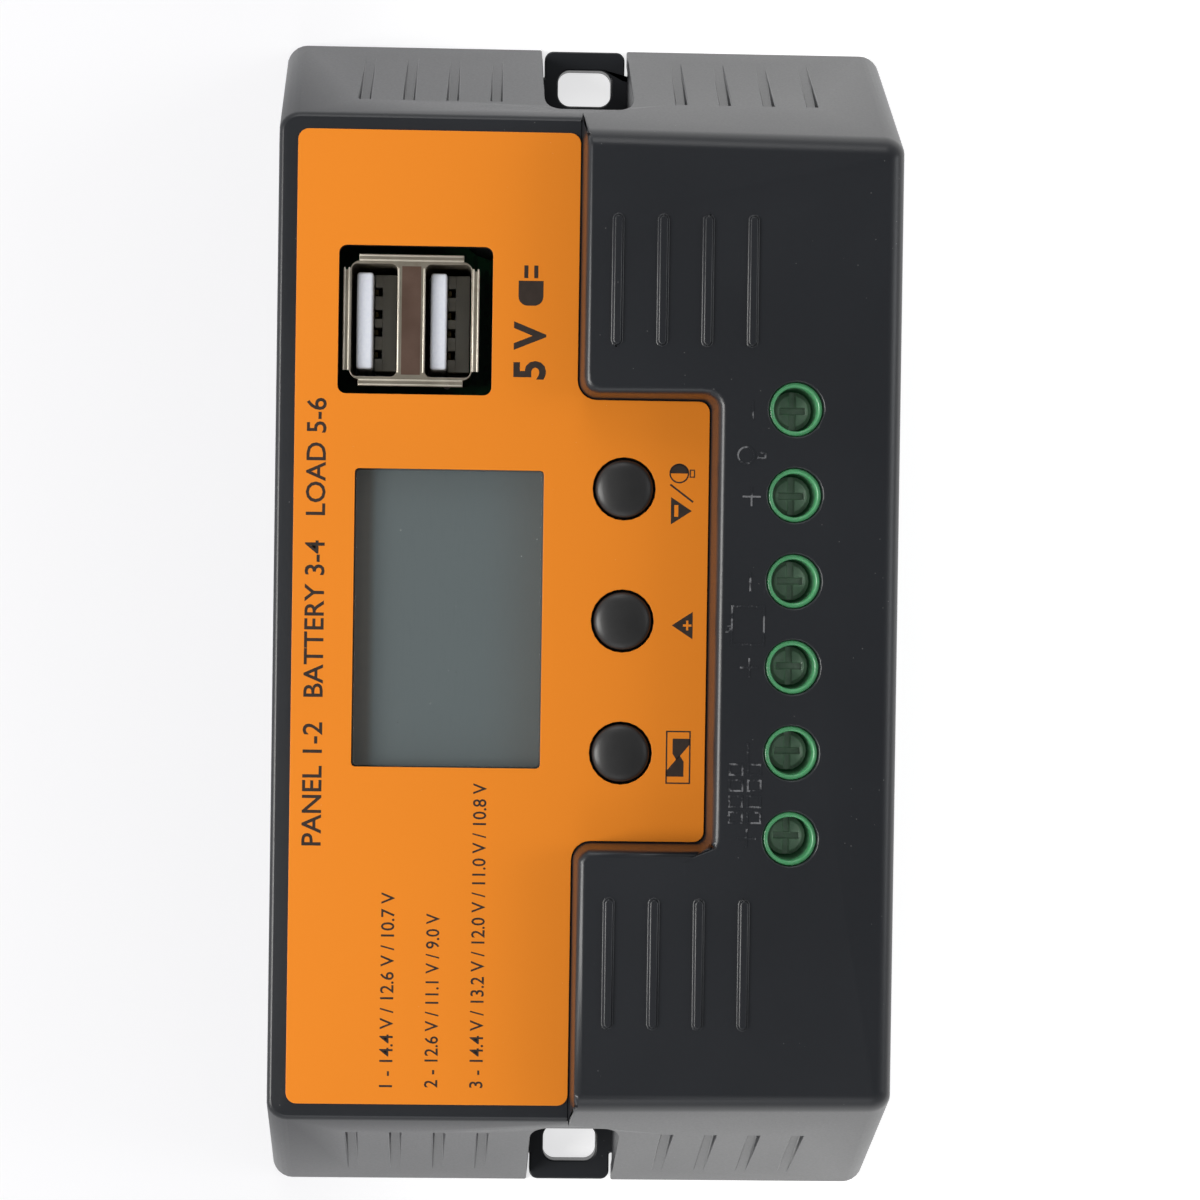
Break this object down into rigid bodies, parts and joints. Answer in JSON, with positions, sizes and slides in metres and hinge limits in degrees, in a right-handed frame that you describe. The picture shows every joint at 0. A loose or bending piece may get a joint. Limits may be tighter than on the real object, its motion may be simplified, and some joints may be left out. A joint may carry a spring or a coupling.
{
  "type": "solar charge controller",
  "caption": "Stepped plastic solar charge controller with display, push buttons, upright USB sockets, screw wire terminals and mounting ears.",
  "frame": {"origin": "middle of the underside of the case, on the surface it is screwed to", "axes": "+X along the case, in the reading direction of the face; +Y away from the wire terminals; +Z out of the face"},
  "size_m": [0.134, 0.07, 0.0349],
  "materials": {
    "case_plastic": "satin black moulded ABS with a fine spark texture",
    "screw_zinc": "zinc-plated steel",
    "terminal_zinc": "bright zinc-plated steel",
    "face_label": "orange printed polycarbonate sheet with a fine grain",
    "display_window": "clear plastic lens",
    "display_glass": "grey-green liquid crystal cell, switched off",
    "white_plastic": "white moulded nylon",
    "circuit_board": "green solder mask",
    "component_black": "black moulded epoxy and sleeving",
    "button_plastic": "black moulded plastic, lightly polished",
    "usb_steel": "nickel-plated steel sheet",
    "terminal_green": "green moulded polyamide",
    "contact_copper": "tinned copper strip",
    "heat_bar_aluminium": "extruded aluminium",
    "ferrite": "ferrite with a lacquered winding"
  },
  "bodies": {
    "case": {"top_cover": "case_plastic", "base_plate": "case_plastic", "case_screw_1": "screw_zinc", "case_screw_2": "screw_zinc", "case_screw_3": "screw_zinc", "case_screw_4": "screw_zinc", "board_screw_1": "screw_zinc", "board_screw_2": "screw_zinc", "board_screw_3": "screw_zinc", "board_screw_4": "screw_zinc", "face_label": "face_label", "display_window": "display_window", "display_glass": "display_glass", "display_backlight": "white_plastic", "usb_tongue_1": "white_plastic", "usb_tongue_2": "white_plastic", "display_board": "circuit_board", "main_board": "circuit_board", "display_header": "component_black", "switch_body_minus": "component_black", "switch_body_plus": "component_black", "switch_body_mode": "component_black", "microcontroller": "component_black", "power_transistor_1": "component_black", "power_transistor_2": "component_black", "power_transistor_3": "component_black", "power_transistor_4": "component_black", "capacitor_1": "component_black", "capacitor_2": "component_black", "usb_shell": "usb_steel", "terminal_block": "terminal_green", "contact_bar_1": "contact_copper", "contact_bar_2": "contact_copper", "contact_bar_3": "contact_copper", "contact_bar_4": "contact_copper", "contact_bar_5": "contact_copper", "contact_bar_6": "contact_copper", "heat_bar": "heat_bar_aluminium", "choke": "ferrite"},
    "minus_button": {"button_minus": "button_plastic", "switch_plunger_minus": "white_plastic"},
    "plus_button": {"button_plus": "button_plastic", "switch_plunger_plus": "white_plastic"},
    "mode_button": {"button_mode": "button_plastic", "switch_plunger_mode": "white_plastic"},
    "screw_1": {"terminal_screw_1": "terminal_zinc"},
    "clamp_1": {"wire_cage_1": "terminal_zinc"},
    "screw_2": {"terminal_screw_2": "terminal_zinc"},
    "clamp_2": {"wire_cage_2": "terminal_zinc"},
    "screw_3": {"terminal_screw_3": "terminal_zinc"},
    "clamp_3": {"wire_cage_3": "terminal_zinc"},
    "screw_4": {"terminal_screw_4": "terminal_zinc"},
    "clamp_4": {"wire_cage_4": "terminal_zinc"},
    "screw_5": {"terminal_screw_5": "terminal_zinc"},
    "clamp_5": {"wire_cage_5": "terminal_zinc"},
    "screw_6": {"terminal_screw_6": "terminal_zinc"},
    "clamp_6": {"wire_cage_6": "terminal_zinc"}
  },
  "joints": [
    {"name": "minus_press", "type": "slide", "parent": "case", "child": "minus_button", "axis": [0, 0, -1], "range_m": [0, 0.0005], "stiffness_N_per_m": 1600, "springref_m": -0.0004},
    {"name": "plus_press", "type": "slide", "parent": "case", "child": "plus_button", "axis": [0, 0, -1], "range_m": [0, 0.0005], "stiffness_N_per_m": 1600, "springref_m": -0.0004},
    {"name": "mode_press", "type": "slide", "parent": "case", "child": "mode_button", "axis": [0, 0, -1], "range_m": [0, 0.0005], "stiffness_N_per_m": 1600, "springref_m": -0.0004},
    {"name": "screw_1_turn", "type": "hinge", "parent": "case", "child": "screw_1", "pos_m": [-0.0235, -0.0227, 0.03], "axis": [0, 0, -1], "range_deg": [0, 2160]},
    {"name": "clamp_1_lift", "type": "slide", "parent": "case", "child": "clamp_1", "axis": [0, 0, 1], "range_m": [0, 0.003]},
    {"name": "screw_2_turn", "type": "hinge", "parent": "case", "child": "screw_2", "pos_m": [-0.0141, -0.0227, 0.03], "axis": [0, 0, -1], "range_deg": [0, 2160]},
    {"name": "clamp_2_lift", "type": "slide", "parent": "case", "child": "clamp_2", "axis": [0, 0, 1], "range_m": [0, 0.003]},
    {"name": "screw_3_turn", "type": "hinge", "parent": "case", "child": "screw_3", "pos_m": [-0.0047, -0.0227, 0.03], "axis": [0, 0, -1], "range_deg": [0, 2160]},
    {"name": "clamp_3_lift", "type": "slide", "parent": "case", "child": "clamp_3", "axis": [0, 0, 1], "range_m": [0, 0.003]},
    {"name": "screw_4_turn", "type": "hinge", "parent": "case", "child": "screw_4", "pos_m": [0.0047, -0.0227, 0.03], "axis": [0, 0, -1], "range_deg": [0, 2160]},
    {"name": "clamp_4_lift", "type": "slide", "parent": "case", "child": "clamp_4", "axis": [0, 0, 1], "range_m": [0, 0.003]},
    {"name": "screw_5_turn", "type": "hinge", "parent": "case", "child": "screw_5", "pos_m": [0.0141, -0.0227, 0.03], "axis": [0, 0, -1], "range_deg": [0, 2160]},
    {"name": "clamp_5_lift", "type": "slide", "parent": "case", "child": "clamp_5", "axis": [0, 0, 1], "range_m": [0, 0.003]},
    {"name": "screw_6_turn", "type": "hinge", "parent": "case", "child": "screw_6", "pos_m": [0.0235, -0.0227, 0.03], "axis": [0, 0, -1], "range_deg": [0, 2160]},
    {"name": "clamp_6_lift", "type": "slide", "parent": "case", "child": "clamp_6", "axis": [0, 0, 1], "range_m": [0, 0.003]}
  ],
  "couplings": [
    {"joint": "screw_1_turn", "follows": "clamp_1_lift", "rad_per_m": 12566},
    {"joint": "screw_2_turn", "follows": "clamp_2_lift", "rad_per_m": 12566},
    {"joint": "screw_3_turn", "follows": "clamp_3_lift", "rad_per_m": 12566},
    {"joint": "screw_4_turn", "follows": "clamp_4_lift", "rad_per_m": 12566},
    {"joint": "screw_5_turn", "follows": "clamp_5_lift", "rad_per_m": 12566},
    {"joint": "screw_6_turn", "follows": "clamp_6_lift", "rad_per_m": 12566}
  ]
}
